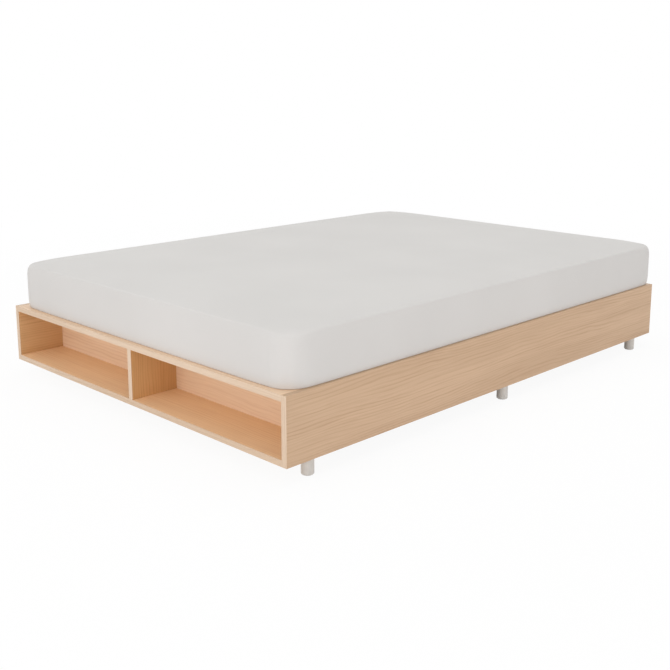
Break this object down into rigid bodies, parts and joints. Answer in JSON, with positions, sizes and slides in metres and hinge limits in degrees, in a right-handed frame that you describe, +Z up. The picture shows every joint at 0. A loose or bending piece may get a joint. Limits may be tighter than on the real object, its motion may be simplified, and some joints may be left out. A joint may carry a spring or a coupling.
{
  "type": "double bed",
  "caption": "Low double bed: wood-look board base on short round legs with open storage niches at the foot end, a slatted deck and a mattress in a smooth fitted cover.",
  "frame": {"origin": "on the floor, below the middle of the bed's overall box", "axes": "+X to the right side seen from the foot end, +Y from the foot end with the niches to the head end, +Z up"},
  "size_m": [1.4, 1.936, 0.4063],
  "materials": {
    "wood_board": "satin light-oak wood-look board",
    "edge_band": "satin pale edge band",
    "softwood": "planed softwood",
    "beech": "plain beech",
    "leg_plastic": "matte light grey plastic",
    "zinc": "dull die-cast zinc",
    "steel": "bright zinc-plated steel",
    "tape": "woven tape",
    "foam": "open-cell foam",
    "cover_cloth": "smooth plain knitted cloth",
    "elastic": "woven elastic"
  },
  "bodies": {
    "base": {"beam_brackets": "steel", "cam_bolts": "steel", "cam_locks": "zinc", "centre_beam": "softwood", "cleat_left": "softwood", "cleat_right": "softwood", "divider_band": "edge_band", "dowels": "beech", "head_band": "edge_band", "head_panel": "wood_board", "leg_block_head_left": "softwood", "leg_block_head_right": "softwood", "leg_block_middle_left": "softwood", "leg_block_middle_right": "softwood", "leg_studs": "steel", "legs_foot": "leg_plastic", "legs_head": "leg_plastic", "legs_middle": "leg_plastic", "niche_back": "wood_board", "niche_bottom": "wood_board", "niche_bottom_band": "edge_band", "niche_divider": "wood_board", "niche_top": "wood_board", "niche_top_band": "edge_band", "side_bands_left": "edge_band", "side_bands_right": "edge_band", "side_panel_left": "wood_board", "side_panel_right": "wood_board", "slat_01": "softwood", "slat_02": "softwood", "slat_03": "softwood", "slat_04": "softwood", "slat_05": "softwood", "slat_06": "softwood", "slat_07": "softwood", "slat_08": "softwood", "slat_09": "softwood", "slat_10": "softwood", "slat_11": "softwood", "slat_12": "softwood", "slat_tape_left": "tape", "slat_tape_right": "tape"},
    "mattress": {"mattress_core": "foam", "mattress_cover": "cover_cloth", "cover_elastic": "elastic"}
  },
  "joints": [
    {"name": "mattress_lift", "type": "slide", "parent": "base", "child": "mattress", "axis": [0, 0, 1], "range_m": [0, 0.3]}
  ]
}
